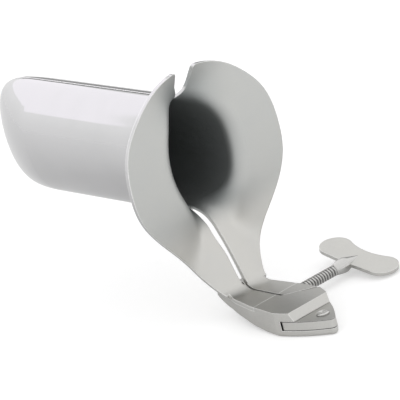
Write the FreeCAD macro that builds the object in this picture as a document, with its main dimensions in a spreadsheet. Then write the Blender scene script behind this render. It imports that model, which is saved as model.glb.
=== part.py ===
import FreeCAD, Part
import math
import os

import Sketcher

# Bivalve speculum, closed. Millimetres.
# The origin is on the axis of the working channel, level with the mouth.
# +Y runs along the blades towards the nose, +Z is up, and the two valves meet at X = 0.

os.makedirs("parts", exist_ok=True)
doc = FreeCAD.newDocument("Speculum")

# Driving dimensions: alias, value, meaning
SIZES = [
    ("wall", 1.3, "thickness of the valve sheet"),
    ("bladeHalfWidth", 18.0, "closed blades, half of the outside width along Z"),
    ("bladeHalfThick", 12.4, "closed blades, half of the outside thickness along X"),
    ("noseStart", 67.0, "where the straight part of the blade ends"),
    ("noseLength", 26.7, "length of the rounded nose"),
    ("splitGap", 0.3, "from the middle plane to each valve"),
    ("tubeStart", 12.0, "rear end of the flaring mouth"),
    ("topFlareStart", 6.7, "where the blade begins to flare under the notch"),
    ("topFlareRadius", 6.7, "radius of the flare there, on the outside skin"),
    ("topFlareLean", 36.0, "forward lean of the flange there, degrees"),
    ("sideFlareStart", -1.0, "where the blade begins to flare at its sides"),
    ("sideFlareRadius", 3.0, "radius of the flare there"),
    ("armFlareStart", 11.5, "where the blade begins to flare above the arms"),
    ("armFlareRadius", 11.0, "radius of the flare there"),
    ("armFlareLean", 26.0, "forward lean of the arms, degrees"),
    ("notchDepth", 4.0, "rear end of the notch between the lobes"),
    ("leftNotch", 2.7, "reach of the notch into the left lobe, at its top"),
    ("rightNotch", 3.7, "reach of the notch into the right lobe"),
    ("lobeTop", 27.3, "height of the lobes above the axis"),
    ("lobeHalfWidth", 28.6, "reach of a lobe to its side"),
    ("armWaist", 6.8, "reach of an arm at its bend"),
    ("armDrop", 41.2, "from the axis down to the top of the arms"),
    ("armBendRadius", 4.5, "radius inside the bend of an arm"),
    ("armBendEnd", 8.5, "where the bend runs out into the arm, forward of the mouth"),
    ("armGap", 0.4, "from the middle plane to each arm"),
    ("slitDepth", 8.5, "rear end of the slit between the arms"),
    ("leftSlit", 1.75, "widest reach of the slit between the arms into the left arm"),
    ("rightSlit", 1.05, "the same into the right arm"),
    ("armSheetEnd", 22.0, "how far forward the valve sheet reaches over the arm"),
    ("armWide", 20.0, "where the width beside the screw is measured"),
    ("leftArmWidth", 9.3, "reach of the left arm beside the screw"),
    ("rightArmWidth", 7.8, "reach of the right arm beside the screw"),
    ("jointRear", 24.0, "where the right arm dives into the joint"),
    ("jointShoulder", 31.5, "where the outline of the joint turns in"),
    ("jointLeft", 10.5, "reach of the joint to the left"),
    ("jointRight", 8.3, "reach of the joint to the right"),
    ("jointArcRadius", 44.0, "bulge of the two sides of the joint"),
    ("tipOffset", 2.4, "the tip of the joint lies this far left of the middle"),
    ("tipReach", 48.3, "reach of the joint forward"),
    ("tipHalfWidth", 1.2, "half width of the rounded tip"),
    ("tipRadius", 1.4, "radius of the rounded tip"),
    ("topPlate", 2.6, "thickness of the plate over the tongue"),
    ("tonguePlate", 2.8, "thickness of the tongue"),
    ("bottomPlate", 2.1, "thickness of the plate under the tongue"),
    ("tonguePlay", 0.05, "gap above and below the tongue"),
    ("bevelTop", 36.7, "front edge of the top plate, at its top"),
    ("bevelRun", 1.4, "how far the bevel runs out below"),
    ("hingeOffset", 1.3, "the hinge rivet lies this far left of the middle"),
    ("hingeReach", 42.5, "hinge rivet, forward of the mouth"),
    ("swingRadius", 12.3, "radius of the tongue's heel about the rivet"),
    ("swingPlay", 0.3, "gap between the heel and the end of its slot"),
    ("shoulderPlay", 0.15, "gap where the right arm meets the joint"),
    ("shoulderRelief", 1.0, "the same gap at the outer corner, which swings in"),
    ("rivetRadius", 1.4, "shank of the hinge rivet"),
    ("rivetHeadRadius", 1.95, "head of the hinge rivet"),
    ("rivetHead", 0.6, "height of the rivet's head"),
    ("runningPlay", 0.05, "radial gap of every turning fit"),
    ("underEnd", 36.0, "how far to the rear the flat underside of the joint reaches"),
    ("rampRadius", 71.6, "bulge of the underside as it begins to rise"),
    ("rampEnd", 25.0, "end of that bulge, forward of the mouth"),
    ("rampRise", 0.85, "height of that end above the flat"),
    ("backEnd", 12.0, "where the underside turns up into the back of the bend"),
    ("backRise", 2.8, "height of that place above the flat"),
    ("backRadius", 16.0, "bulge of the back of the bend"),
    ("backStart", 2.8, "top of the back of the bend, forward of the mouth"),
    ("backRound", 1.6, "rounding of that top"),
    ("lowerRound", 1.2, "rounding of the arms' lower edges"),
    ("heelRound", 1.5, "rounding of the heel's left corner"),
    ("screwForward", 19.6, "screw axis, forward of the mouth"),
    ("screwDrop", 44.7, "screw axis, below the blade axis"),
    ("screwRadius", 1.7, "screw, outside of the thread"),
    ("screwTip", 0.1, "the tip of the screw lies this far left of the middle"),
    ("threadEnd", 24.4, "end of the thread, from the middle plane"),
    ("neckRadius", 2.3, "neck of the screw where it holds the wing"),
    ("neckSwell", 3.8, "from the end of the thread to the thickest part of the neck"),
    ("neckLength", 9.5, "length of the neck, which runs out on the wing"),
    ("journalRadius", 1.1, "turned end of the screw"),
    ("journalLength", 2.2, "length of the turned end with its domed tip"),
    ("collarRadius", 1.8, "thrust collar"),
    ("collarStart", 0.9, "face of the thrust collar, from the middle plane"),
    ("collarThick", 1.0, "thickness of the thrust collar"),
    ("collarPlay", 0.15, "gap round the collar and behind it"),
    ("wingThick", 1.1, "thickness of the wing"),
    ("wingTilt", 10.6, "turn of the wing about the screw, degrees"),
    ("lobeRadius", 5.0, "radius of a lobe of the wing"),
    ("lobeOut", 9.8, "from the screw axis to the centre of a lobe"),
    ("lobeAlong", 9.9, "from the end of the thread to the centre of a lobe"),
    ("wingDip", 12.9, "from the end of the thread to the dip of the wing"),
    ("wingStart", 4.6, "from the end of the thread to the wing's lower edge"),
    ("tenonHalf", 1.5, "half width of the wing's tenon in the neck"),
    ("tenonDepth", 1.8, "depth of the tenon in the neck"),
]

sheet = doc.addObject("Spreadsheet::Sheet", "Sizes")
for row, (alias, value, meaning) in enumerate(SIZES, start=1):
    sheet.set(f"A{row}", meaning)
    sheet.set(f"B{row}", str(value))
    sheet.setAlias(f"B{row}", alias)
doc.recompute()
ALIASES = sorted((alias for alias, _, _ in SIZES), key=len, reverse=True)


def size(expression):
    """The value of an expression written with the sheet's names."""
    return float(sheet.evalExpression(expression))


def bound(expression):
    """The same expression as every other object of the document writes it."""
    words = []
    word = ""
    for letter in expression + " ":
        if letter.isalnum():
            word += letter
            continue
        words.append(f"Sizes.{word}" if word in ALIASES else word)
        words.append(letter)
        word = ""
    return "".join(words).strip()


def vector(x, y, z):
    return FreeCAD.Vector(x, y, z)


# Heights in the joint, from the top of the arms down to the underside
TOP = "-armDrop"
SLOT_TOP = "-(armDrop + topPlate)"
TONGUE_LOW = "-(armDrop + topPlate + tonguePlay + tonguePlate)"
SLOT_LOW = "-(armDrop + topPlate + 2 * tonguePlay + tonguePlate)"
UNDERSIDE = "-(armDrop + topPlate + 2 * tonguePlay + tonguePlate + bottomPlate)"
HEIGHT = "topPlate + 2 * tonguePlay + tonguePlate + bottomPlate"
BLOCK_HEIGHT = f"{HEIGHT} + backRound"
SLOT_HEIGHT = "2 * tonguePlay + tonguePlate"
# A length beyond every piece, for cutting right through, and the length of a flange before trimming
FAR = 80.0
FLANGE = 45.0


# Sketches and features
def plane_sketch(body, name, plane, offset):
    """An empty sketch on one of the body's own planes."""
    sketch = body.newObject("Sketcher::SketchObject", name)
    sketch.AttachmentSupport = [([f for f in body.Origin.OriginFeatures if f.Role == plane][0], "")]
    sketch.MapMode = "FlatFace"
    sketch.setExpression("AttachmentOffset.Base.z", bound(offset))
    return sketch


def tie(sketch, kind, places, expression):
    """One dimension of a sketch, bound to the sheet."""
    number = sketch.addConstraint(Sketcher.Constraint(kind, *places, size(expression)))
    sketch.setExpression(f"Constraints[{number}]", bound(expression))


def short_arc(start, end, radius):
    """The short arc of a radius, anticlockwise from start to end."""
    chord = end - start
    right = vector(chord.y, -chord.x, 0).normalize()
    reach = math.sqrt(radius ** 2 - (chord.Length / 2) ** 2)
    return Part.Arc(start, (start + end) / 2 + right * (radius - reach), end)


def outline_sketch(body, name, plane, corners, offset="0"):
    """A closed outline. Each corner gives x, y and what leads to the next one: None for a straight
    side, or the radius of an arc, which bulges to the right of the way there, or to the left if the
    radius is negative."""
    sketch = plane_sketch(body, name, plane, offset)
    points = [vector(size(x), size(y), 0) for x, y, _ in corners]
    ends = []
    for index, (_, _, radius) in enumerate(corners):
        start, end = points[index], points[(index + 1) % len(points)]
        if radius is None:
            sketch.addGeometry(Part.LineSegment(start, end), False)
            ends.append((1, 2))
        elif size(radius) > 0:
            sketch.addGeometry(short_arc(start, end, size(radius)), False)
            ends.append((1, 2))
        else:
            sketch.addGeometry(short_arc(end, start, -size(radius)), False)
            ends.append((2, 1))
    for index, (x, y, radius) in enumerate(corners):
        following = (index + 1) % len(corners)
        sketch.addConstraint(Sketcher.Constraint(
            "Coincident", index, ends[index][1], following, ends[following][0]))
        tie(sketch, "DistanceX", (-1, 1, index, ends[index][0]), x)
        tie(sketch, "DistanceY", (-1, 1, index, ends[index][0]), y)
        if radius is not None:
            tie(sketch, "Radius", (index,), f"abs({radius})")
    return sketch


def circle_sketch(body, name, plane, x, y, radius, offset="0"):
    sketch = plane_sketch(body, name, plane, offset)
    sketch.addGeometry(Part.Circle(vector(size(x), size(y), 0), vector(0, 0, 1), size(radius)), False)
    tie(sketch, "DistanceX", (-1, 1, 0, 3), x)
    tie(sketch, "DistanceY", (-1, 1, 0, 3), y)
    tie(sketch, "Radius", (0,), radius)
    return sketch


def pad(body, name, sketch, length, middle=False):
    feature = body.newObject("PartDesign::Pad", name)
    feature.Profile = sketch
    feature.Midplane = middle
    feature.setExpression("Length", bound(length))
    doc.recompute()
    return feature


def pocket(body, name, sketch, length=None, upwards=True):
    """A pocket of one length along the sketch's normal or against it; with no length, right through."""
    before = body.Tip.Shape.Volume
    feature = body.newObject("PartDesign::Pocket", name)
    feature.Profile = sketch
    feature.Reversed = upwards
    if length is None:
        feature.Midplane = True
        feature.Length = 4 * FAR
    else:
        feature.setExpression("Length", bound(length))
    doc.recompute()
    if feature.Shape.Volume > before - 1e-3:
        raise RuntimeError(f"{name} cuts nothing")
    return feature


def turned(body, name, sketch, axis):
    """The profile turned once round an axis of its sketch."""
    feature = body.newObject("PartDesign::Revolution", name)
    feature.Profile = sketch
    feature.ReferenceAxis = (sketch, [axis])
    feature.Angle = 360
    doc.recompute()
    return feature


def rounded(body, name, radius, chosen):
    """Rounds the edges of the body that the test chooses."""
    base = body.Tip
    edges = [f"Edge{n}" for n, edge in enumerate(base.Shape.Edges, start=1) if chosen(edge)]
    feature = body.newObject("PartDesign::Fillet", name)
    feature.Base = (base, edges)
    feature.setExpression("Radius", bound(radius))
    doc.recompute()
    return feature


def new_body(name, label=None):
    body = doc.addObject("PartDesign::Body", name)
    body.Label = label or name
    return body


# The formed sheet of a valve
# Each skin bounds a solid region behind and below it. The sheet is what lies between two such
# regions, so it keeps its thickness round the flare and round the bend into the arm.
# The lobe's rim from its top to its side: shares of the reach and of the height
LOBE_RIM = [(0.165, 1.0), (0.42, 0.928), (0.72, 0.693), (0.925, 0.405), (1.0, 0.01)]
# The rim from there down to the arm: shares of what is left of the reach, and of the drop
ARM_RIM = [(0.955, 0.215), (0.69, 0.461), (0.34, 0.70), (0.115, 0.918), (0.0, 1.03)]
# The inner edges of the arms: shares of the slit's widest reach, and of the way down the arm
SLITS = {
    "left": [(0.82, 0.023), (1.0, 0.061), (0.97, 0.16), (0.91, 0.3), (0.5, 0.49), (0.74, 0.665),
             (0.74, 0.75), (0.4, 0.875)],
    "right": [(0.48, 0.056), (0.76, 0.094), (0.87, 0.17), (1.0, 0.383), (0.86, 0.613), (0.52, 0.871)],
}
# Sections of the flaring mouth, from the notch round the side to the arm
FLARE_SECTIONS = 13
# How fast the flare of the side passes into the flare of the notch and of the arm, and how fast
# the lean of the arm does
FLARE_POWER = 6
ARM_LEAN_POWER = 16
# Where the nose is cut for its sections, as shares of its length. The last one is its blunt end
NOSE_SHARES = [0.0, 0.25, 0.5, 0.7, 0.85, 0.94, 0.985]
# Exponents of the nose's outline: seen from the side it stays high, from above it tapers early
NOSE_HEIGHT_POWER = 4.0
NOSE_WIDTH_POWER = 1.5
NOSE_WIDTH_ROOT = 0.76


def flare_at(turn):
    """Start, outside radius and lean of the flare, at an angle round the blade from its top."""
    end = "top" if math.cos(turn) > 0 else "arm"
    share = abs(math.cos(turn)) ** FLARE_POWER
    lean_share = abs(math.cos(turn)) ** (FLARE_POWER if end == "top" else ARM_LEAN_POWER)
    start = size("sideFlareStart") + (size(end + "FlareStart") - size("sideFlareStart")) * share
    radius = size("sideFlareRadius") + (size(end + "FlareRadius") - size("sideFlareRadius")) * share
    return start, radius, math.radians(size(end + "FlareLean")) * lean_share


def flare_section(turn, skin):
    """The region outside one skin of the mouth, in a plane square to the oval of the blade."""
    height, depth = size("bladeHalfWidth") - skin, size("bladeHalfThick") - skin
    start, radius, lean = flare_at(turn)
    radius += skin
    on_oval = vector(depth * math.sin(turn), 0, height * math.cos(turn))
    outwards = vector(math.sin(turn) / depth, 0, math.cos(turn) / height).normalize()

    def point(y, out):
        return on_oval + outwards * out + vector(0, y, 0)

    def on_arc(angle):
        return point(start - radius * math.sin(angle), radius * (1 - math.cos(angle)))

    quarter = math.pi / 2 - lean
    flange = on_arc(quarter) + (outwards * math.cos(lean) + vector(0, -math.sin(lean), 0)) * FLANGE
    tube_end = point(size("tubeStart"), 0)
    corner = vector(flange.x, size("tubeStart"), flange.z)
    return Part.Wire([
        Part.LineSegment(tube_end, on_arc(0)).toShape(),
        Part.Arc(on_arc(0), on_arc(quarter / 2), on_arc(quarter)).toShape(),
        Part.LineSegment(on_arc(quarter), flange).toShape(),
        Part.LineSegment(flange, corner).toShape(),
        Part.LineSegment(corner, tube_end).toShape(),
    ])


def flare_region(skin):
    """Everything outside and behind one skin of the mouth, on the right side."""
    turns = [math.pi * step / (FLARE_SECTIONS - 1) for step in range(FLARE_SECTIONS)]
    return Part.makeLoft([flare_section(turn, skin) for turn in turns], True)


def behind_skin(skin):
    """The same region with all that lies below the arm, and the bend between the two rounded."""
    top = -size("armDrop") - (size("wall") - skin)
    front = -FAR * 0.7
    below = Part.makeBox(FAR, 2 * FAR, FAR, vector(0, -FAR, top - FAR))
    window = Part.makeBox(
        FAR / 2, size("tubeStart") - front, FAR * 1.75, vector(0, front, top - FAR * 0.2))
    solid = flare_region(skin).fuse(below).common(window).removeSplitter()
    bend = [
        edge for edge in solid.Edges
        if edge.BoundBox.ZMax < top + 0.01 and edge.BoundBox.ZMin > top - 0.01
        and edge.BoundBox.XLength > FAR / 16
        and front + 1 < edge.BoundBox.YMin and edge.BoundBox.YMax < size("tubeStart") - 0.1
    ]
    return solid.makeFillet(size("armBendRadius") + size("wall") - skin, bend)


def half_oval(skin):
    """The right half of the oval in which one skin of the mouth ends, closed by its long axis."""
    height = size("bladeHalfWidth") - skin
    ends = vector(0, size("tubeStart"), height), vector(0, size("tubeStart"), -height)
    oval = [
        edge for edge in flare_region(skin).Edges
        if all(any(corner.Point.isEqual(end, 0.001) for corner in edge.Vertexes) for end in ends)
    ]
    return Part.Wire([oval[0], Part.LineSegment(*ends).toShape()])


def blade_half(skin, ruled):
    """The right half of the blade inside one skin: a straight oval tube and a blunt, flat nose, whose
    sections are joined smoothly or straight."""
    start, length = size("noseStart"), size("noseLength") - skin
    oval = half_oval(skin)
    tube_length = start - size("tubeStart")
    sections = []
    for share in NOSE_SHARES:
        place = FreeCAD.Matrix()
        place.scale(
            (1 - share ** NOSE_WIDTH_POWER) ** NOSE_WIDTH_ROOT, 1,
            (1 - share ** NOSE_HEIGHT_POWER) ** 0.5)
        place.move(vector(0, tube_length + length * share, 0))
        sections.append(oval.transformGeometry(place))
    return Part.makeLoft([oval, sections[0]], True, True), Part.makeLoft(sections, True, ruled)


def upright_outline(side):
    """What the front view shows of a valve: lobe, notch, and the arm down to its bend."""
    split, gap, notch = size("splitGap"), size("armGap"), size(side + "Notch")
    reach, waist, blade = size("lobeHalfWidth"), size("armWaist"), size("bladeHalfWidth")
    rim = [vector(reach * share, 0, size("lobeTop") * rise) for share, rise in LOBE_RIM]
    for share, fall in ARM_RIM:
        rim.append(vector(waist + (reach - waist) * share, 0, -size("armDrop") * fall))
    curve = Part.BSplineCurve()
    curve.interpolate(rim)
    corner = vector(notch + 0.1, 0, rim[0].z - 1.2)
    corner_middle = vector(notch + 0.45, 0, rim[0].z - 0.3)
    notch_low = vector(split, 0, blade - 0.5)
    notch_side = vector(notch - 1.9, 0, blade + 1.2)
    notch_high = vector(notch - 0.5, 0, blade + 4.3)
    low = -size("armDrop") - 3 * size("wall")
    slit_low, slit_top = vector(gap, 0, low), vector(split, 0, 1.6 - blade)
    slit_points = [slit_top]
    for share, fall in SLITS[side]:
        slit_points.append(vector(size(side + "Slit") * share, 0, slit_top.z + (low - slit_top.z) * fall))
    slit = Part.BSplineCurve()
    slit.interpolate(slit_points + [slit_low])
    waist_low = vector(waist, 0, low)
    return Part.Wire([
        Part.LineSegment(slit_top, notch_low).toShape(),
        Part.Arc(notch_low, notch_side, notch_high).toShape(),
        Part.LineSegment(notch_high, corner).toShape(),
        Part.Arc(corner, corner_middle, rim[0]).toShape(),
        curve.toShape(),
        Part.LineSegment(rim[-1], waist_low).toShape(),
        Part.LineSegment(waist_low, slit_low).toShape(),
        slit.toShape(),
    ])


def valve_sheet(side):
    """The sheet of a valve, as it lies on the right side."""
    width, shoulder = size(side + "ArmWidth"), size("joint" + side.capitalize())
    bend_end, sheet_end, wide = -size("armBendEnd"), -size("armSheetEnd"), -size("armWide")
    tube_start, gap, split = size("tubeStart"), size("armGap"), size("splitGap")
    upright = Part.Face(upright_outline(side))
    upright.translate(vector(0, bend_end, 0))
    upright = upright.extrude(vector(0, tube_start - bend_end, 0))
    behind_notch, behind_slit = [
        Part.makeBox(size("bladeHalfThick"), tube_start - depth, size("lobeTop"), vector(split, depth, low))
        for depth, low in ((size("notchDepth"), 0), (size("slitDepth"), -size("lobeTop")))]
    share = (sheet_end - wide) / (-size("jointShoulder") - wide)
    plan = Part.makePolygon([
        vector(gap, bend_end, -FAR),
        vector(size("armWaist"), bend_end, -FAR),
        vector(width, wide, -FAR),
        vector(width + (shoulder - width) * share, sheet_end, -FAR),
        vector(gap, sheet_end, -FAR),
        vector(gap, bend_end, -FAR),
    ])
    forward = Part.Face(plan).extrude(vector(0, 0, FAR))
    mouth = behind_skin(size("wall")).cut(behind_skin(0))
    mouth = mouth.common(upright.fuse([behind_notch, behind_slit, forward]))
    keep = Part.makeBox(FAR, 2 * FAR, 2 * FAR, vector(split, 0, -FAR))
    outer, inner = blade_half(0, False), blade_half(size("wall"), True)
    tube, nose = [
        outside.common(keep).cut(inside) for outside, inside in zip(outer, inner)]
    return mouth.fuse([tube, nose]).removeSplitter()


def mirrored(shape):
    return shape.mirror(vector(0, 0, 0), vector(1, 0, 0))


def shape_feature(name, shape):
    feature = doc.addObject("Part::Feature", name)
    feature.Shape = shape
    return feature


right_shell = shape_feature("right_valve_shell", valve_sheet("right"))
left_shell = shape_feature("left_valve_shell", mirrored(valve_sheet("left")))

# The space under the sheet, which the forged arms fill up to the sheet's outer skin
seat = behind_skin(0).fuse(Part.makeBox(
    2 * FAR, FAR, FAR, vector(-FAR, -FAR - size("armSheetEnd"), -FAR - size("armDrop"))))
right_seat = shape_feature("right_seat", seat)
left_seat = shape_feature("left_seat", mirrored(seat))


def seated(name, body, space):
    """A forged arm, cut to the underside of the sheet that lies on it."""
    forged = doc.addObject("Part::MultiCommon", name)
    forged.Shapes = [body, space]
    return forged


# The plan both halves of the joint share, from the left shoulder round the tip to the right one
JOINT_PLAN = [
    ("-jointLeft", "-jointShoulder", "jointArcRadius"),
    ("-tipOffset - tipHalfWidth", "-tipReach + tipRadius / 2", "tipRadius"),
    ("-tipOffset + tipHalfWidth", "-tipReach + tipRadius / 2", "jointArcRadius"),
    ("jointRight", "-jointShoulder", None),
]


def on_swing(radius, x):
    """How far forward a circle about the rivet lies, at one x."""
    return f"-hingeReach + sqrt(({radius})^2 - ({x} + hingeOffset)^2)"


def cut_underside(body):
    """The underside of an arm rises to the rear and turns up into the back of its bend."""
    profile = outline_sketch(body, body.Name + "_underside_profile", "YZ_Plane", [
        ("-underEnd", UNDERSIDE, "rampRadius"),
        ("-rampEnd", f"{UNDERSIDE} + rampRise", None),
        ("-backEnd", f"{UNDERSIDE} + backRise", "backRadius"),
        ("-backStart", TOP, "backRound"),
        ("-backStart - backRound", "-armDrop + backRound", None),
        ("-backStart - backRound", f"{FAR}", None),
        (f"{FAR}", f"{FAR}", None),
        (f"{FAR}", f"-{2 * FAR}", None),
        ("-underEnd", f"-{2 * FAR}", None),
    ])
    pocket(body, body.Name + "_underside", profile)


def round_below(body, name, chosen):
    """Rounds the lower edges of a body's first block, where the test takes the edge's middle."""
    low = size(UNDERSIDE)

    def wanted(edge):
        middle = edge.valueAt((edge.FirstParameter + edge.LastParameter) / 2)
        return edge.BoundBox.ZMax < low + 0.01 and chosen(middle)

    rounded(body, name, "lowerRound", wanted)


# The left arm and its box joint, with the slot the tongue swings in
box = new_body("left_arm_blank")
box_plan = outline_sketch(box, "box_plan", "XY_Plane", [
    ("-armGap", "0", None),
    ("-armWaist", "0", None),
    ("-armWaist", "-armBendEnd", None),
    ("-leftArmWidth", "-armWide", None),
    *JOINT_PLAN,
    ("-armGap", "-jointRear", None),
], UNDERSIDE)
pad(box, "box_block", box_plan, BLOCK_HEIGHT)
round_below(box, "box_lower_edges", lambda middle: (
    middle.x < -size("armWaist") / 2 or middle.y < -size("jointShoulder")))
cut_underside(box)
SLOT_RADIUS = "swingRadius + swingPlay"
HEEL_SIDE = "-hingeOffset - 10"
slot_plan = outline_sketch(box, "slot_plan", "XY_Plane", [
    ("-armGap", on_swing(SLOT_RADIUS, "-armGap"), SLOT_RADIUS),
    (HEEL_SIDE, on_swing(SLOT_RADIUS, HEEL_SIDE), None),
    (f"-{FAR}", on_swing(SLOT_RADIUS, HEEL_SIDE), None),
    (f"-{FAR}", f"-{FAR}", None),
    (f"{FAR}", f"-{FAR}", None),
    (f"{FAR}", "0", None),
    ("-armGap", "0", None),
], SLOT_LOW)
pocket(box, "tongue_slot", slot_plan, SLOT_HEIGHT)
step_profile = outline_sketch(box, "step_profile", "YZ_Plane", [
    ("-bevelTop", TOP, None),
    ("-bevelTop", "-armDrop + 2 * backRound", None),
    (f"-{FAR}", "-armDrop + 2 * backRound", None),
    (f"-{FAR}", SLOT_TOP, None),
    ("-bevelTop - bevelRun", SLOT_TOP, None),
])
pocket(box, "front_step", step_profile)
pocket(box, "rivet_seat", circle_sketch(
    box, "rivet_seat_plan", "XY_Plane", "-hingeOffset", "-hingeReach", "rivetRadius"))
box_joint = seated("left_box_joint", box, left_seat)

# The right arm and its tongue
arm = new_body("right_arm_blank")
DIAGONAL = "(jointShoulder - jointRear) / (jointRight + armGap)"
arm_plan = outline_sketch(arm, "arm_plan", "XY_Plane", [
    ("armWaist", "0", None),
    ("armGap", "0", None),
    ("armGap", f"-jointRear - 2 * armGap * {DIAGONAL} + shoulderPlay", None),
    ("jointRight", "-jointShoulder + shoulderRelief", None),
    ("jointRight", "-jointRear - 2", None),
    ("rightArmWidth", "-armWide", None),
    ("armWaist", "-armBendEnd", None),
], UNDERSIDE)
pad(arm, "arm_block", arm_plan, BLOCK_HEIGHT)
round_below(arm, "arm_lower_edges", lambda middle: middle.x > size("armWaist") / 2 + size("armGap"))
tongue_plan = outline_sketch(arm, "tongue_plan", "XY_Plane", [
    *JOINT_PLAN,
    ("jointRight", "-jointRear - 2", None),
    ("-jointLeft", "-jointRear - 2", None),
], TONGUE_LOW)
pad(arm, "tongue_layer", tongue_plan, "tonguePlate")
heel_plan = outline_sketch(arm, "heel_plan", "XY_Plane", [
    ("armGap", on_swing("swingRadius", "armGap"), None),
    ("armGap", "0", None),
    (f"-{FAR}", "0", None),
    (f"-{FAR}", on_swing("swingRadius", HEEL_SIDE), None),
    (HEEL_SIDE, on_swing("swingRadius", HEEL_SIDE), "-swingRadius"),
], UNDERSIDE)
pocket(arm, "tongue_heel", heel_plan, HEIGHT)
HEEL_LEFT = -size("jointLeft") + size("heelRound")
rounded(arm, "heel_corner", "heelRound", lambda edge: (
    edge.BoundBox.XMax < HEEL_LEFT and edge.BoundBox.ZLength > size("tonguePlate") / 2))
cut_underside(arm)
pocket(arm, "rivet_bore", circle_sketch(
    arm, "rivet_bore_plan", "XY_Plane", "-hingeOffset", "-hingeReach", "rivetRadius + runningPlay"))
pocket(arm, "screw_bore", circle_sketch(
    arm, "screw_bore_plan", "YZ_Plane", "-screwForward", "-screwDrop", "screwRadius + runningPlay"))
pocket(arm, "collar_bore", circle_sketch(
    arm, "collar_bore_plan", "YZ_Plane", "-screwForward", "-screwDrop", "collarRadius + collarPlay"),
    "collarStart + collarThick + collarPlay")
joint_tongue = seated("right_joint_tongue", arm, right_seat)

# The hinge rivet, its head dimpled where it was closed
rivet = new_body("hinge_rivet")
rivet_profile = outline_sketch(rivet, "rivet_profile", "XZ_Plane", [
    ("0", UNDERSIDE, None),
    ("rivetRadius", UNDERSIDE, None),
    ("rivetRadius", SLOT_TOP, None),
    ("rivetHeadRadius", SLOT_TOP, None),
    ("rivetHeadRadius", f"{SLOT_TOP} + rivetHead * 0.7", None),
    ("rivetHeadRadius - rivetHead / 2", f"{SLOT_TOP} + rivetHead", None),
    ("rivetHeadRadius - rivetHead", f"{SLOT_TOP} + rivetHead", None),
    ("0", f"{SLOT_TOP} + rivetHead * 0.6", None),
])
turned(rivet, "rivet_turned", rivet_profile, "V_Axis")
rivet.setExpression("Placement.Base.x", bound("-hingeOffset"))
rivet.setExpression("Placement.Base.y", bound("-hingeReach"))


def on_screw(body, along="0"):
    """Puts a body on the screw's axis, turned with the wing."""
    body.Placement = FreeCAD.Placement(vector(0, 0, 0), FreeCAD.Rotation(vector(1, 0, 0), 1))
    body.setExpression("Placement.Base.x", bound(along))
    body.setExpression("Placement.Base.y", bound("-screwForward"))
    body.setExpression("Placement.Base.z", bound("-screwDrop"))
    body.setExpression("Placement.Rotation.Angle", bound("wingTilt"))


# The thumbscrew: domed tip, turned end for the collar, thread, and a neck slotted for the wing
spindle = new_body("screw_spindle")
spindle_profile = outline_sketch(spindle, "spindle_profile", "XY_Plane", [
    ("-screwTip", "0", None),
    ("threadEnd + neckLength", "0", None),
    ("threadEnd + neckLength", "wingThick / 2", None),
    ("threadEnd + neckSwell", "neckRadius", "-4 * neckSwell"),
    ("threadEnd", "screwRadius", None),
    ("journalLength - screwTip", "screwRadius", None),
    ("journalLength - screwTip", "journalRadius", None),
    ("journalRadius / 2 - screwTip", "journalRadius", "1.25 * journalRadius"),
])
turned(spindle, "spindle_turned", spindle_profile, "H_Axis")
WING_START = "threadEnd + wingStart"
neck_slot = outline_sketch(spindle, "neck_slot_plan", "XY_Plane", [
    (WING_START, "tenonHalf", None),
    (f"{WING_START} - tenonDepth", "tenonHalf", None),
    (f"{WING_START} - tenonDepth", "-tenonHalf", None),
    (WING_START, "-tenonHalf", None),
    (WING_START, f"-{FAR}", None),
    ("threadEnd + 2 * neckLength", f"-{FAR}", None),
    ("threadEnd + 2 * neckLength", f"{FAR}", None),
    (WING_START, f"{FAR}", None),
], "-wingThick / 2")
pocket(spindle, "neck_slot", neck_slot, "wingThick")
on_screw(spindle)

# The wing, a flat plate with a tenon in the neck and two round lobes
wing = new_body("screw_wing")
DIP_RADIUS = ("(lobeOut^2 + (wingDip - lobeAlong)^2 - lobeRadius^2)"
              " / (2 * (lobeRadius - wingDip + lobeAlong))")
TO_DIP = f"(lobeRadius / (lobeRadius + {DIP_RADIUS}))"
LOBE_END = f"lobeAlong + (wingDip + {DIP_RADIUS} - lobeAlong) * {TO_DIP}"
LOBE_SIDE = f"lobeOut - lobeOut * {TO_DIP}"
wing_plan = outline_sketch(wing, "wing_plan", "XY_Plane", [
    ("wingStart - tenonDepth", "tenonHalf", None),
    ("wingStart - tenonDepth", "-tenonHalf", None),
    ("wingStart", "-tenonHalf", None),
    ("wingStart", "-neckRadius", None),
    ("lobeAlong - lobeRadius", "-lobeOut", "lobeRadius"),
    ("lobeAlong", "-lobeOut - lobeRadius", "lobeRadius"),
    (LOBE_END, f"-({LOBE_SIDE})", f"-{DIP_RADIUS}"),
    (LOBE_END, LOBE_SIDE, "lobeRadius"),
    ("lobeAlong", "lobeOut + lobeRadius", "lobeRadius"),
    ("lobeAlong - lobeRadius", "lobeOut", None),
    ("wingStart", "neckRadius", None),
    ("wingStart", "tenonHalf", None),
])
pad(wing, "wing_plate", wing_plan, "wingThick", middle=True)
on_screw(wing, "threadEnd")

# The thrust collar, a plain ring on the turned end of the screw
ring = doc.addObject("Part::Cylinder", "collar_blank")
ring.setExpression("Radius", bound("collarRadius"))
ring.setExpression("Height", bound("collarThick"))
bore = doc.addObject("Part::Cylinder", "collar_hole")
bore.setExpression("Radius", bound("journalRadius + runningPlay"))
bore.setExpression("Height", bound("collarThick"))
collar = doc.addObject("Part::Cut", "screw_thrust_collar")
collar.Base = ring
collar.Tool = bore
collar.Placement = FreeCAD.Placement(vector(0, 0, 0), FreeCAD.Rotation(vector(0, 1, 0), 90))
collar.setExpression("Placement.Base.x", bound("collarStart"))
collar.setExpression("Placement.Base.y", bound("-screwForward"))
collar.setExpression("Placement.Base.z", bound("-screwDrop"))

doc.recompute()

# Every object has to be sound before anything is written
failed = [o.Name for o in doc.Objects if "Invalid" in o.State or "Error" in o.State]
if failed:
    raise RuntimeError(f"these objects failed: {failed}")

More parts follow.
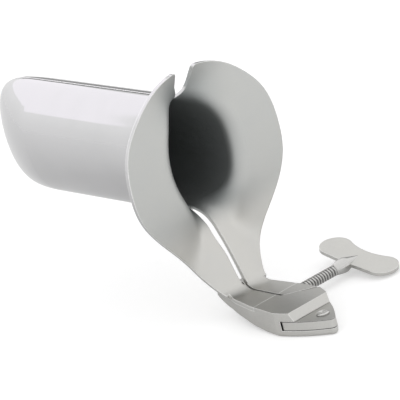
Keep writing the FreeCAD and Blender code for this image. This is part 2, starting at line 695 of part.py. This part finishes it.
PIECES = [
    left_shell, box_joint, rivet, right_shell, joint_tongue, collar, spindle, wing,
]
for piece in PIECES:
    shape = piece.Shape
    if shape.isNull() or not shape.isValid() or len(shape.Solids) != 1:
        raise RuntimeError(f"{piece.Label} is not one sound solid")
    shape.exportStep(f"parts/{piece.Label}.step")
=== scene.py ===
# %% [markdown]
# # A bivalve speculum in polished steel
# The instrument is two thin valves that form one closed tube with a rounded
# nose. Each valve opens at the mouth into a flared lobe and runs down into an
# arm. The arms meet in a riveted box joint, and a thumbscrew between them
# holds the valves apart. The solids come from the CAD model as a fixed frame,
# and here they get the finish of the real steel.

# %% Load the frame
import math

import bpy
from mathutils import Matrix, Vector


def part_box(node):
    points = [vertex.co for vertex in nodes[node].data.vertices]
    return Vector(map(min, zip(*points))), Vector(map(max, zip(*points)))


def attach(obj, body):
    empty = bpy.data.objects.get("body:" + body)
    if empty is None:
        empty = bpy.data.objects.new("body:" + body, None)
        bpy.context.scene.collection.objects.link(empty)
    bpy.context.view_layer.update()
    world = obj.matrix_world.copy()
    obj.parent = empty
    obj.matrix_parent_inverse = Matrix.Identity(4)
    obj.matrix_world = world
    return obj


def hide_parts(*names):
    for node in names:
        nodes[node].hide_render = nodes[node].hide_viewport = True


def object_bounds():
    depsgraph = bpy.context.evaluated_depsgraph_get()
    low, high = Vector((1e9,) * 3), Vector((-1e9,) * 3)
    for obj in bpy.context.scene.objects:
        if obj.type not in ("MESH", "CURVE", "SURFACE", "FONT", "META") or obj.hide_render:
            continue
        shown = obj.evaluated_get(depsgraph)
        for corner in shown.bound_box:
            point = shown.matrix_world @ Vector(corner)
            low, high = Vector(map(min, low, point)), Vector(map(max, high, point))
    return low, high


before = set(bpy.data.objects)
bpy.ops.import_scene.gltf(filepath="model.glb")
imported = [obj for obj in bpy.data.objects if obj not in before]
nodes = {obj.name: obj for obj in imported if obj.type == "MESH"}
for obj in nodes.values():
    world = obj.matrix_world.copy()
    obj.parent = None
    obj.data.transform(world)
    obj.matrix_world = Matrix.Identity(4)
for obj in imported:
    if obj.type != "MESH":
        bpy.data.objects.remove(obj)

MM = 0.001
cad_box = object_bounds()
print("solids:", sorted(nodes))
print("CAD box, m:", [round(v, 4) for corner in cad_box for v in corner])

# %% [markdown]
# ## The camera
# The instrument was seen from the mouth end, from the left and a little
# above, through a long lens, so the lines hardly converge. A camera could be
# aimed with angles, or with a constraint that looks at a target. Its matrix
# says the same at once: its own right, up and back directions are the
# columns, with its place beside them, so these three directions and one
# offset are all that it needs.

# %% Set up the camera
VIEW_RIGHT = Vector((0.7382446, -0.6300554, -0.2408839))
VIEW_UP = Vector((0.3905059, 0.1080272, 0.9142403))
VIEW_BACK = Vector((-0.55, -0.7689996, 0.3257908))
VIEW_OFFSET = Vector((-0.0014668, 0.0128799, -0.9279041))
LONG_LENS, SENSOR = 288, 36

turn = Matrix((VIEW_RIGHT, VIEW_UP, VIEW_BACK)).transposed()
camera = bpy.data.cameras.new("camera")
camera.lens, camera.sensor_width = LONG_LENS, SENSOR
camera.clip_start, camera.clip_end = 0.1, 20
eye = bpy.data.objects.new("camera", camera)
bpy.context.collection.objects.link(eye)
eye.matrix_world = Matrix.Translation(-(turn @ VIEW_OFFSET)) @ turn.to_4x4()
bpy.context.scene.camera = eye
bpy.context.scene.view_settings.view_transform = "Standard"
print("camera at, m:", [round(v, 3) for v in eye.matrix_world.translation])

# %% [markdown]
# ## Shader sums in plain Python
# Steel finishes are mostly masks: here polished, there satin, brighter where
# an edge is rubbed. Such masks are sums on numbers. Each sum could be a Math
# node that is made and linked by hand, but then the sum is lost among its
# links, so a small class wraps a socket and lets it be written as it is
# thought. Every other node comes from one method that takes its type, its
# settings and its inputs.

# %% Wrap a socket
class Wire:
    """One output of a shader node, on which sums can be written."""

    def __init__(self, bench, socket):
        self.bench, self.socket = bench, socket

    def sum(self, operation, first, second):
        return self.bench.node("ShaderNodeMath", {"operation": operation}, {0: first, 1: second})

    def __add__(self, other):
        return self.sum("ADD", self, other)

    def __radd__(self, other):
        return self.sum("ADD", other, self)

    def __sub__(self, other):
        return self.sum("SUBTRACT", self, other)

    def __rsub__(self, other):
        return self.sum("SUBTRACT", other, self)

    def __mul__(self, other):
        return self.sum("MULTIPLY", self, other)

    def __rmul__(self, other):
        return self.sum("MULTIPLY", other, self)

    def __truediv__(self, other):
        return self.sum("DIVIDE", self, other)

    def __rtruediv__(self, other):
        return self.sum("DIVIDE", other, self)

    def __pow__(self, other):
        return self.sum("POWER", self, other)

    def __rpow__(self, other):
        return self.sum("POWER", other, self)

    def __abs__(self):
        return self.bench.node("ShaderNodeMath", {"operation": "ABSOLUTE"}, {0: self})


class Bench:
    """The nodes of one material, or of the world."""

    def __init__(self, tree):
        self.tree = tree
        tree.nodes.clear()

    def node(self, kind, settings=None, values=None, out=0):
        made = self.tree.nodes.new(kind)
        for name, value in (settings or {}).items():
            setattr(made, name, value)
        for name, value in (values or {}).items():
            if isinstance(value, Wire):
                self.tree.links.new(value.socket, made.inputs[name])
            else:
                made.inputs[name].default_value = value
        return Wire(self, made.outputs[out]) if made.outputs else None


def new_bench(owner):
    """An empty bench for a material or the world."""
    owner.use_nodes = True
    return Bench(owner.node_tree)


print("a wire takes + - * / ** and abs, with a number on either side")

# %% [markdown]
# ## Masks, mixes and grain
# A few small helpers serve every finish: a smooth step for masks, a mix for
# numbers and one for colours, and noise that can be drawn out along an axis,
# because a brush or a buffing wheel leaves marks that are far longer than
# they are wide. Such marks could also come from a picture, but noise has no
# seam on a bent sheet and stays fine however near the eye comes.

# %% Mask, mix and grain helpers
def parts(vector):
    """The x, y and z of a vector, each as a wire."""
    split = vector.bench.node("ShaderNodeSeparateXYZ", {}, {0: vector}).socket.node
    return [Wire(vector.bench, socket) for socket in split.outputs]


def rise(value, low, high):
    """0 below low, 1 above high, with a smooth step between them."""
    return value.bench.node(
        "ShaderNodeMapRange", {"interpolation_type": "SMOOTHSTEP"},
        {"Value": value, "From Min": low, "From Max": high})


def mix(mask, first, second):
    """A number that goes from first to second where the mask is 1."""
    return first + mask * (second - first)


def tint(mask, first, second):
    """A colour that goes from first to second where the mask is 1."""
    first, second = [c if isinstance(c, Wire) else (*c, 1) for c in (first, second)]
    return mask.bench.node(
        "ShaderNodeMix", {"data_type": "RGBA"}, {0: mask, 6: first, 7: second}, out=2)


def grey(tone):
    """A colour with the same tone in red, green and blue."""
    return tone.bench.node("ShaderNodeCombineColor", {}, {0: tone, 1: tone, 2: tone})


def grain(place, stretch, detail=3):
    """Noise of 1 over about 1 mm, packed closer along an axis by its stretch."""
    bench = place.bench
    drawn = bench.node("ShaderNodeVectorMath", {"operation": "MULTIPLY"}, {0: place, 1: stretch})
    return bench.node(
        "ShaderNodeTexNoise", {}, {"Vector": drawn, "Scale": 1 / MM, "Detail": detail})


print("noise at a scale of", 1 / MM, "per m")

# %% [markdown]
# ## What every steel finish starts from
# Object coordinates stay with a body when it swings, so a finish written in
# them moves with the steel. Edges are rubbed bright, and their colour is
# also lightened as a painted highlight. They could be painted on by hand, but
# the Bevel node finds them by itself: where its rounded normal leaves the
# surface's own, there is an edge. Real edges are also a little round, so the
# same normal goes on to the shader and catches a thin line of light along
# each edge, as on the instrument. Slow clouds of staining break up every
# face a little, as handling does.

# %% Start a finish
# Edges are painted in this light colour: rubbed steel and a painted highlight.
RUBBED_AND_HIGHLIT_EDGE = (0.95, 0.95, 0.94)
CLOUDS = (0.09, 0.09, 0.09)
FINE_SPECKS = (8.0, 8.0, 8.0)
EDGE_FADE = (0.015, 0.12)
CLOUD_FADE = (0.35, 0.75)


class Steel:
    """The shared start of a steel finish: places in mm, edges and the shader."""

    def __init__(self, name, edge_radius=0.22):
        self.material = bpy.data.materials.new(name)
        bench = self.bench = new_bench(self.material)
        self.place = bench.node("ShaderNodeTexCoord", out="Object")
        self.x, self.y, self.z = [part * (1 / MM) for part in parts(self.place)]
        self.facing = bench.node("ShaderNodeNewGeometry", out="Normal")
        self.round_edge = bench.node(
            "ShaderNodeBevel", {"samples": 6}, {"Radius": edge_radius * MM})
        meet = bench.node("ShaderNodeVectorMath", {"operation": "DOT_PRODUCT"},
                          {0: self.round_edge, 1: self.facing}, out="Value")
        self.edge = rise(1 - meet, *EDGE_FADE)
        self.cloud = grain(self.place, CLOUDS)

    def stained(self, colour, share, stain):
        """The colour with slow clouds of a stain, up to that share of it."""
        return tint(rise(self.cloud, *CLOUD_FADE) * share, colour, stain)

    def done(self, colour, roughness, height, depth):
        """The finished material. The depth of the relief is in mm."""
        bench = self.bench
        rough_skin = bench.node("ShaderNodeBump", {}, {
            "Height": height, "Distance": depth * MM, "Strength": 1.0,
            "Normal": self.round_edge})
        shader = bench.node("ShaderNodeBsdfPrincipled", {}, {
            "Base Color": colour, "Metallic": 1.0, "Roughness": roughness,
            "Normal": rough_skin})
        bench.node("ShaderNodeOutputMaterial", {}, {"Surface": shader})
        print("finish:", self.material.name, len(bench.tree.nodes), "nodes")
        return self.material


print("rubbed edges:", RUBBED_AND_HIGHLIT_EDGE, "clouds stretched by", CLOUDS[0])

# %% [markdown]
# ## Painted shade on the tops round the joint
# The flat tops of the forgings, and of the feet of the valves' arms that run
# on to them, are painted greyer than the satin as shade, most of all towards
# the left. They could be a material of their own, but sheet and forging meet
# there, and two materials would meet in a line. So one helper lays the
# painted shade over either finish, and it runs across the seam.

# %% Painted shade on the tops
SATIN = (0.625, 0.617, 0.590)
# The up-facing tops are painted in this grey as shade.
TOP_PAINTED_SHADE = (0.36, 0.357, 0.345)
TOP_SHADE_SHARE, RIGHT_LOSS = 0.7, 0.8
TILTED, LEVEL = 0.45, 0.9
ARM_FOOT, ARM_SHANK = -39.0, -34.0
JOINT_LEFT, JOINT_RIGHT = -8.0, 10.0


def with_painted_top_shade(steel, colour):
    """The colour with painted shade laid over the up-facing tops."""
    up = parts(steel.facing)[2]
    flat = rise(up, TILTED, LEVEL) * (1 - rise(steel.z, ARM_FOOT, ARM_SHANK))
    left = 1 - rise(steel.x, JOINT_LEFT, JOINT_RIGHT) * RIGHT_LOSS
    return tint(flat * left * TOP_SHADE_SHARE, colour, TOP_PAINTED_SHADE)


print("ground tops below, mm:", ARM_SHANK)

# %% [markdown]
# ## The valves: a mirror outside, satin at the mouth, painted shade within
# The outside of the blade is buffed to a mirror so that it slides, and shows
# the studio as on a bent mirror. The lobes and arms are only satin, because a
# mirror there would dazzle under the theatre lamp. A few millimetres into the
# channel, the colour is painted dark as shade. All three are on one sheet, so
# one finish tells them apart: outside is where the surface faces away from
# the blade's axis, which a sum of the normal with the place shows.

# %% Where a valve is polished, satin or dark
POLISHED = (0.628, 0.625, 0.632)
# The channel is painted in this dark colour as shade.
CHANNEL_PAINTED_SHADE = (0.360, 0.378, 0.378)
FLARE_BACK, BLADE_START = 9.0, 12.0
ARM_TOP, BLADE_BOTTOM = -21.0, -17.0
INSIDE, OUTSIDE, BLADE_SURPLUS = 0.25, 0.4, 0.45
DARK_FROM, DARK_FULL = -12.0, 2.0
CHANNEL_FOOT, CHANNEL_FLOOR = -24.0, -14.0
NEVER_ZERO = 0.01


def valve_masks(steel):
    """1 on the mirror outside, and 1 deep in the channel, where shade is painted."""
    own = steel.bench.node(
        "ShaderNodeVectorTransform",
        {"vector_type": "NORMAL", "convert_from": "WORLD", "convert_to": "OBJECT"},
        {0: steel.facing})
    facing_x, _, facing_z = parts(own)
    on_blade = rise(steel.y, FLARE_BACK, BLADE_START)
    above_arm = rise(steel.z, ARM_TOP, BLADE_BOTTOM)
    reach = (steel.x * steel.x + steel.z * steel.z + NEVER_ZERO) ** 0.5
    outward = (facing_x * steel.x + facing_z * steel.z) / reach
    outside = rise(outward + BLADE_SURPLUS * on_blade, INSIDE, OUTSIDE)
    mirror = outside * (1 - (1 - on_blade) * (1 - above_arm))
    deep = rise(steel.y, DARK_FROM, DARK_FULL) * rise(steel.z, CHANNEL_FOOT, CHANNEL_FLOOR)
    return mirror, (1 - outside) * deep


print("mirror from y, mm:", FLARE_BACK, "to", BLADE_START)

# %% [markdown]
# ## How the valve's surface was worked
# The satin of the mouth was rubbed round and round, so its marks are close
# along the height and long across it. The blade is wiped from end to end, so
# its faint marks run along it. Bump could carry all of this, but a mirror
# shows bump at once, so on the blade most of it is in the roughness.

# %% Valve finish
RUBBING, WIPING, SPECKS = (0.5, 0.5, 6.0), (3.0, 0.12, 3.0), (9.0, 9.0, 9.0)


def valve_finish():
    steel = Steel("valve_polished_outside_satin_mouth", edge_radius=0.45)
    mirror, deep = valve_masks(steel)
    rub = grain(steel.place, RUBBING)
    wipe = grain(steel.place, WIPING)
    speck = grain(steel.place, SPECKS, detail=1)
    colour = tint(mirror, SATIN, POLISHED)
    colour = steel.stained(colour, share=0.25, stain=(0.57, 0.575, 0.575))
    colour = with_painted_top_shade(steel, colour)
    # Painted shade deep in the channel.
    colour = tint(deep, colour, CHANNEL_PAINTED_SHADE)
    # Edges painted light: rubbed steel and a painted highlight.
    colour = tint(steel.edge * (1 - deep) * 0.9, colour, RUBBED_AND_HIGHLIT_EDGE)
    satin_rough = 0.33 + 0.10 * rub + 0.04 * speck
    mirror_rough = 0.035 + 0.05 * wipe + 0.02 * steel.cloud
    roughness = mix(mirror, satin_rough, mirror_rough)
    roughness = roughness - steel.edge * 0.1 * (1 - mirror) + deep * 0.18
    height = (rub * 0.7 + speck * 0.3) * (1 - mirror) + wipe * mirror * 0.15
    return steel.done(colour, roughness, height, depth=0.01)


valve_steel = valve_finish()

# %% [markdown]
# ## The box joint: ground flat and brushed
# The joint is forged, ground flat and brushed, so its faces carry fine
# parallel lines. A shader can stretch its gleam without any lines, but that
# looks too even up close, so the lines are noise packed close along two axes
# and drawn out along the third. The tops and the sides are both brushed along
# the handle, so one direction serves both. A few pits are left from the
# forging. Where the tongue runs in its slot, both seams are painted dark as
# shade.

# %% Painted shade in the seams
SLOT_TOP, SLOT_LOW = -43.85, -46.62
SLOT_FRONT, SLOT_REAR = -34.0, -31.0
SEAM_CORE, SEAM_EDGE = 0.08, 0.24
# The seams of the slot are painted in this dark colour as shade.
SEAM_PAINTED_SHADE = (0.02, 0.02, 0.02)


def with_seam_shade(steel, colour):
    """The colour with painted shade along the seams of the slot, on upright faces."""
    upright = 1 - rise(abs(parts(steel.facing)[2]), 0.3, 0.6)
    for level in (SLOT_TOP, SLOT_LOW):
        seam = 1 - rise(abs(steel.z - level), SEAM_CORE, SEAM_EDGE)
        painted_seam_line = seam * (1 - rise(steel.y, SLOT_FRONT, SLOT_REAR))
        # Painted shade along this seam.
        colour = tint(painted_seam_line * 0.9 * upright, colour, SEAM_PAINTED_SHADE)
    return colour


print("seams at z, mm:", SLOT_TOP, SLOT_LOW)

# %% Joint finish
BRUSHING, PITTING = (7.0, 0.35, 7.0), (2.2, 2.2, 2.2)
LINE_FADE, PIT_FADE = (0.3, 0.7), (0.64, 0.74)


def joint_finish(name, in_slot=False):
    steel = Steel(name, edge_radius=0.3)
    lines = grain(steel.place, BRUSHING)
    speck = grain(steel.place, FINE_SPECKS, detail=1)
    pits = rise(grain(steel.place, PITTING, detail=5), *PIT_FADE)
    colour = tint(rise(lines, *LINE_FADE) * 0.35, SATIN, (0.50, 0.497, 0.485))
    colour = steel.stained(colour, share=0.25, stain=(0.545, 0.545, 0.535))
    colour = tint(pits * 0.3, colour, (0.36, 0.36, 0.355))
    colour = with_painted_top_shade(steel, colour)
    # Edges painted light: rubbed steel and a painted highlight.
    colour = tint(steel.edge * 0.8, colour, RUBBED_AND_HIGHLIT_EDGE)
    if in_slot:
        colour = with_seam_shade(steel, colour)
    roughness = 0.27 + 0.14 * lines + 0.05 * speck - steel.edge * 0.08
    height = lines * 0.8 + speck * 0.2 - pits * 0.5
    return steel.done(colour, roughness, height, depth=0.012)


joint_steel = joint_finish("joint_brushed_satin")
tongue_steel = joint_finish("tongue_brushed_satin_dark_seams", in_slot=True)

# %% [markdown]
# ## The rivet: turned on a lathe and burnished
# A rivet head keeps the rings of the tool that faced it. They could be cut
# into the mesh, but they are only hundredths of a millimetre deep, so bump
# is enough. Rings are a wave of the distance from the rivet's own axis, so
# that axis is all the finish needs besides a little noise. The rings fade
# where years of wiping have rubbed the middle of the head.

# %% Rivet finish
rivet_low, rivet_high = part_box("hinge_rivet")
rivet_axis = (rivet_low + rivet_high) / 2 / MM
RING_PITCH = 0.16
RUBBED_AWAY, RINGS_WHOLE = 0.2, 1.2
RIVET_SPECKS = (6.0, 6.0, 6.0)


def rivet_finish():
    steel = Steel("rivet_turned_and_burnished")
    across, along = steel.x - rivet_axis.x, steel.y - rivet_axis.y
    reach = (across * across + along * along) ** 0.5
    phase = reach * (2 * math.pi / RING_PITCH)
    wave = steel.bench.node("ShaderNodeMath", {"operation": "SINE"}, {0: phase})
    rings = (0.5 + 0.5 * wave) * rise(reach, RUBBED_AWAY, RINGS_WHOLE)
    speck = grain(steel.place, RIVET_SPECKS)
    colour = tint(rings * 0.35, (0.63, 0.625, 0.61), (0.52, 0.515, 0.50))
    colour = steel.stained(colour, share=0.2, stain=(0.56, 0.555, 0.54))
    # Edges painted light: rubbed steel and a painted highlight.
    colour = tint(steel.edge * 0.7, colour, RUBBED_AND_HIGHLIT_EDGE)
    roughness = 0.16 + 0.09 * rings + 0.06 * speck
    return steel.done(colour, roughness, rings * 0.6 + speck * 0.3, depth=0.014)


rivet_steel = rivet_finish()
print("rivet axis, mm:", [round(v, 2) for v in rivet_axis])

# %% [markdown]
# ## The screw's thread
# The solid model holds the screw as a plain rod, which is right for contact
# but not to look at. The real thread is a groove wound round the rod, one
# turn per millimetre. A profile could be swept along a helix, but then it
# would still have to be joined to the rod. A grid of rows along the screw and
# columns round it makes both in one go: each point's radius follows the
# groove's profile at its distance along the helix, and fades out at the two
# ends as a cut thread does. The domed end, the turned journal and the neck
# are on the same grid.

# %% Screw profile, in mm
screw_low, screw_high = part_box("screw_spindle")
AXIS_Y = (screw_low.y + screw_high.y) / 2
AXIS_Z = (screw_low.z + screw_high.z) / 2
TIP, DOME_END, JOURNAL_END = -0.1, 0.45, 2.1
THREAD_END, SWELL_END, NECK_END = 24.4, 28.2, 33.9
JOURNAL, ROD, NECK, NECK_TIP = 1.1, 1.7, 2.3, 0.55
PITCH, GROOVE, CREST, ROOT = 1.0, 0.40, 0.22, 0.86
RUN_IN, RUN_OUT = 0.7, 0.9


def plain_radius(x):
    """The screw's radius without its thread, x along its axis."""
    if x <= DOME_END:
        share = max(0.0, (x - TIP) / (DOME_END - TIP))
        return JOURNAL * math.sqrt(1 - (1 - share) ** 2)
    if x <= JOURNAL_END:
        return JOURNAL
    if x <= THREAD_END:
        return ROD
    if x <= SWELL_END:
        share = (x - THREAD_END) / (SWELL_END - THREAD_END)
        return ROD + (NECK - ROD) * math.sin(share * math.pi / 2)
    share = (x - SWELL_END) / (NECK_END - SWELL_END)
    return NECK + (NECK_TIP - NECK) * share


def groove_depth(x, turn_share):
    """How deep the thread's groove is there: flat crests, sloped sides, flat roots."""
    fade = min(1.0, (x - JOURNAL_END) / RUN_IN, (THREAD_END - x) / RUN_OUT)
    if fade <= 0:
        return 0.0
    down = 1 - abs(((x / PITCH - turn_share) % 1.0) * 2 - 1)
    return GROOVE * fade * max(0.0, min(1.0, (down - CREST) / (ROOT - CREST)))


print("screw axis, m:", round(AXIS_Y, 4), round(AXIS_Z, 4), "groove, mm:", GROOVE)

# %% [markdown]
# ## The rows of the screw's grid
# Rows could be evenly spaced, but they are only needed as close as the shape
# asks: a few on the dome, fourteen to a turn of the thread so that the
# groove's corners stay crisp, and a few again along the smooth neck.

# %% Rows and columns
ROWS_PER_TURN, SWELL_ROWS, COLUMNS = 14, 10, 44
dome_rows = [TIP, TIP + 0.02, -0.02, 0.08, 0.2, 0.32, DOME_END]
journal_rows = [0.8, 1.2, 1.7, JOURNAL_END - 0.001]
step = PITCH / ROWS_PER_TURN
turn_rows = int((THREAD_END - JOURNAL_END) / step) + 1
thread_rows = [JOURNAL_END + step * i for i in range(turn_rows)]
step = (SWELL_END - THREAD_END) / SWELL_ROWS
swell_rows = [THREAD_END + step * (i + 1) for i in range(SWELL_ROWS)]
neck_rows = [29.2, 30.6, 32.0, 33.2, NECK_END]
rows = dome_rows + journal_rows + thread_rows + swell_rows + neck_rows
print("rows along the screw:", len(rows), "columns round it:", COLUMNS)

# %% [markdown]
# ## The screw as one mesh
# Each row is a ring of points, and four neighbours in two rows make a face.
# The rod could be smoothed by a modifier, but that would wash the thread's
# corners out, so its faces are only shaded smooth, and edges over 50 degrees
# stay sharp. The mesh takes the plain rod's place and turns with the wing.

# %% Build the screw
SHARP_FROM = 50


def build_screw():
    points, faces = [], []
    for x in rows:
        for column in range(COLUMNS):
            share = column / COLUMNS
            radius = (plain_radius(x) - groove_depth(x, share)) * MM
            angle = share * 2 * math.pi
            points.append((x * MM, AXIS_Y + radius * math.cos(angle),
                           AXIS_Z + radius * math.sin(angle)))
    for start in range(0, (len(rows) - 1) * COLUMNS, COLUMNS):
        for column in range(COLUMNS):
            a, b = start + column, start + (column + 1) % COLUMNS
            faces.append((a, b, b + COLUMNS, a + COLUMNS))
    faces.append(tuple(range(COLUMNS))[::-1])
    faces.append(tuple(range(len(points) - COLUMNS, len(points))))
    mesh = bpy.data.meshes.new("threaded_screw")
    mesh.from_pydata(points, [], faces)
    mesh.polygons.foreach_set("use_smooth", [True] * len(mesh.polygons))
    mesh.set_sharp_from_angle(angle=math.radians(SHARP_FROM))
    mesh.update()
    made = bpy.data.objects.new("threaded_screw", mesh)
    bpy.context.collection.objects.link(made)
    return made


screw = build_screw()
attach(screw, "thumbscrew")
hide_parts("screw_spindle")
print("screw faces:", len(screw.data.polygons))

# %% [markdown]
# ## The screw's finish
# The thread's crests have run in the arm and keep the turned colour, with a
# painted highlight on their rubbed edges. Down in the groove the colour is
# painted dark as shade, and the steel is rougher. The faces of the groove
# could get a second material, but the painted shade has no sharp end, so the
# distance from the screw's axis tells the two apart. The whole screw carries
# fine turning lines round it.

# %% Screw finish
TURNING = (8.0, 0.5, 0.5)
THREAD_FADE, GROOVE_LOW, GROOVE_HIGH = 0.4, 0.32, 0.05
# The groove is painted in this dark colour as shade.
GROOVE_PAINTED_SHADE = (0.10, 0.10, 0.10)


def screw_finish():
    steel = Steel("screw_bright_crests_dull_grooves", edge_radius=0.1)
    across, up = steel.y - AXIS_Y / MM, steel.z - AXIS_Z / MM
    reach = (across * across + up * up) ** 0.5
    threaded = rise(steel.x, JOURNAL_END, JOURNAL_END + THREAD_FADE)
    threaded = threaded * (1 - rise(steel.x, THREAD_END - THREAD_FADE, THREAD_END))
    hollow = threaded * (1 - rise(reach, ROD - GROOVE_LOW, ROD - GROOVE_HIGH))
    turned = grain(steel.place, TURNING)
    colour = tint(turned * 0.3, (0.62, 0.615, 0.60), (0.54, 0.535, 0.52))
    colour = steel.stained(colour, share=0.2, stain=(0.56, 0.56, 0.55))
    # Painted shade down in the groove.
    colour = tint(hollow * 0.8, colour, GROOVE_PAINTED_SHADE)
    # Edges painted light: rubbed steel and a painted highlight.
    colour = tint(steel.edge * (1 - hollow) * 0.5, colour, RUBBED_AND_HIGHLIT_EDGE)
    roughness = 0.15 + 0.12 * turned + 0.25 * hollow
    return steel.done(colour, roughness, turned, depth=0.006)


screw_steel = screw_finish()

# %% [markdown]
# ## The wing's finish
# The wing is a flat plate that fingers turn, seated in a slot in the screw's
# neck. The joint's finish would nearly do, but the wing is handled far more,
# so its lines are fainter and wider, and its rim is rubbed bright and carries a
# painted highlight.

# %% Wing finish
HANDLING = (4.0, 0.6, 4.0)


def wing_finish():
    steel = Steel("wing_satin_with_rubbed_highlit_rim", edge_radius=0.3)
    lines = grain(steel.place, HANDLING)
    speck = grain(steel.place, FINE_SPECKS, detail=1)
    colour = tint(
        rise(lines, *LINE_FADE) * 0.2, (0.625, 0.618, 0.592), (0.54, 0.535, 0.515))
    colour = steel.stained(colour, share=0.25, stain=(0.55, 0.547, 0.53))
    # Edges painted light: rubbed steel and a painted highlight.
    colour = tint(steel.edge * 0.8, colour, RUBBED_AND_HIGHLIT_EDGE)
    roughness = 0.30 + 0.10 * lines + 0.05 * speck - steel.edge * 0.1
    return steel.done(colour, roughness, lines * 0.7 + speck * 0.3, depth=0.01)


wing_steel = wing_finish()

# %% [markdown]
# ## Putting the finishes on
# A solid that has the right shape keeps it and only gets a new material in
# its slots. The screw is the one piece that stands for a solid.

# %% Assign the finishes
FINISHES = {
    "left_valve_shell": valve_steel,
    "right_valve_shell": valve_steel,
    "left_box_joint": joint_steel,
    "right_joint_tongue": tongue_steel,
    "hinge_rivet": rivet_steel,
    "screw_thrust_collar": screw_steel,
    "screw_spindle": screw_steel,
    "screw_wing": wing_steel,
}
for name, material in FINISHES.items():
    for place in nodes[name].material_slots:
        place.material = material
screw.data.materials.append(screw_steel)
print("finished:", len(FINISHES), "solids and the screw")

# %% [markdown]
# ## The floor
# The instrument lies on its joint and its nose hangs free above a pale
# floor. A curved backdrop would hide the floor's far edge, but a large flat
# sheet does too once its paint runs into the white background, and it shows
# the same from every side.

# %% Make the floor
FLOOR_HALF = 1.6
CORNERS = ((-1, -1), (1, -1), (1, 1), (-1, 1))
floor_height = cad_box[0].z
floor_mesh = bpy.data.meshes.new("floor")
floor_mesh.from_pydata(
    [(a * FLOOR_HALF, b * FLOOR_HALF, floor_height) for a, b in CORNERS], [], [(0, 1, 2, 3)])
floor = bpy.data.objects.new("floor", floor_mesh)
bpy.context.collection.objects.link(floor)
print("floor at, m:", round(floor_height, 4))

# %% [markdown]
# ## The floor's paint
# The paint is matt and nearly white. More lamps would bring it up to white,
# but they would wash out the steel as well. So it glows a little where the
# camera sees it, and the soft shadow under the joint stays. Metal sees it
# glow too, more the farther it is, so that the floor's far edge leaves no
# line on the blade, and more in front, where the satin lobes look at it. The
# glow is no lamp: it isn't sampled as one, so rough steel meets it too.

# %% Paint the floor
CAMERA_GLOW, FRONT_GLOW, FAR_GLOW, GLOW_LOSS = 0.38, 0.42, 0.21, 0.024
FRONT_END, FRONT_START = -0.12, 0.02
AT_LEAST = 0.0001
paint = bpy.data.materials.new("pale_matt_floor")
bench = new_bench(paint)
seen = bench.node("ShaderNodeLightPath", out="Is Camera Ray")
mirrored = bench.node("ShaderNodeLightPath", out="Is Glossy Ray")
spot = bench.node("ShaderNodeTexCoord", out="Object")
side, along, _ = parts(spot)
distance = (side * side + along * along + AT_LEAST) ** 0.5
far_glow = bench.node("ShaderNodeMath", {"operation": "MAXIMUM"}, {
    0: FAR_GLOW - GLOW_LOSS / distance, 1: 0.0})
front_glow = FRONT_GLOW * (1 - rise(along, FRONT_END, FRONT_START))
mottle = grain(spot, (0.02, 0.02, 0.02))
matt = bench.node("ShaderNodeBsdfDiffuse", {}, {
    "Color": tint(mottle, (0.72, 0.72, 0.72), (0.75, 0.75, 0.75)), "Roughness": 0.5})
glow = bench.node("ShaderNodeEmission", {}, {
    "Color": grey(seen * CAMERA_GLOW + mirrored * (far_glow + front_glow)), "Strength": 1.0})
both = bench.node("ShaderNodeAddShader", {}, {0: matt, 1: glow})
bench.node("ShaderNodeOutputMaterial", {}, {"Surface": both})
paint.cycles.emission_sampling = "NONE"
floor_mesh.materials.append(paint)
print("floor paint:", len(bench.tree.nodes), "nodes")

# %% [markdown]
# ## The studio
# Polished steel has no look of its own: it shows the room. A picture of a
# real room could stand round it, but a few sums on the direction give calmer
# reflections. This room is a white studio that gives even light from all
# sides, a little stronger from above, with a darker opening far behind on the
# right, which gives the flat faces their grey. The camera, and anything seen
# through glass, gets the plain white of the background.

# %% Light the studio
WALL, WALL_BEHIND, CEILING, OPENING = 0.93, 0.06, 0.14, 0.36
world = bpy.data.worlds.new("white_studio")
bpy.context.scene.world = world
bench = new_bench(world)
right, far, high_up = parts(bench.node("ShaderNodeTexCoord", out="Generated"))
direct = bench.node("ShaderNodeLightPath", out="Is Camera Ray")
through = bench.node("ShaderNodeLightPath", out="Is Transmission Ray")
background = rise(direct + through, 0.0, 1.0)
wall = WALL + WALL_BEHIND * far + CEILING * rise(high_up, -0.05, 0.35)
opening = rise(right, 0.40, 0.62) * rise(far, 0.2, 0.5) * (1 - rise(high_up, 0.38, 0.52))
tone = mix(background, mix(opening, wall, OPENING), 1.0)
room = bench.node("ShaderNodeBackground", {}, {"Color": grey(tone), "Strength": 1.0})
bench.node("ShaderNodeOutputWorld", {}, {"Surface": room})
print("studio:", len(bench.tree.nodes), "nodes")

# %% [markdown]
# ## The softbox
# One large softbox behind the blade makes its bright upper half. An area lamp
# could do it, but a glowing sheet can have any outline: its slanted left edge
# is the sharp line along the blade, and its lower corner is cut off so that
# the line bends at the nose. It is only there for reflections, so it throws
# no light on matt things and blocks none.

# %% Hang the softbox
SOFTBOX = [
    (-0.337, 0.557, 0.196), (0.31, 0.557, 0.196), (0.31, 0.60, 0.95), (0.03, 0.80, 0.95),
    (-0.345, 0.596, 0.317), (-0.380, 0.576, 0.250), (-0.385, 0.567, 0.215)]
CLOTH, CLOTH_GLOW = (0.985, 0.965, 1.0, 1), 1.36
softbox_mesh = bpy.data.meshes.new("softbox")
softbox_mesh.from_pydata(SOFTBOX, [], [tuple(range(len(SOFTBOX)))])
softbox = bpy.data.objects.new("softbox", softbox_mesh)
bpy.context.collection.objects.link(softbox)
softbox.visible_camera = softbox.visible_diffuse = softbox.visible_shadow = False
cloth = bpy.data.materials.new("softbox_cloth")
bench = new_bench(cloth)
light = bench.node("ShaderNodeEmission", {}, {"Color": CLOTH, "Strength": CLOTH_GLOW})
bench.node("ShaderNodeOutputMaterial", {}, {"Surface": light})
softbox_mesh.materials.append(cloth)
print("softbox corners:", len(SOFTBOX))
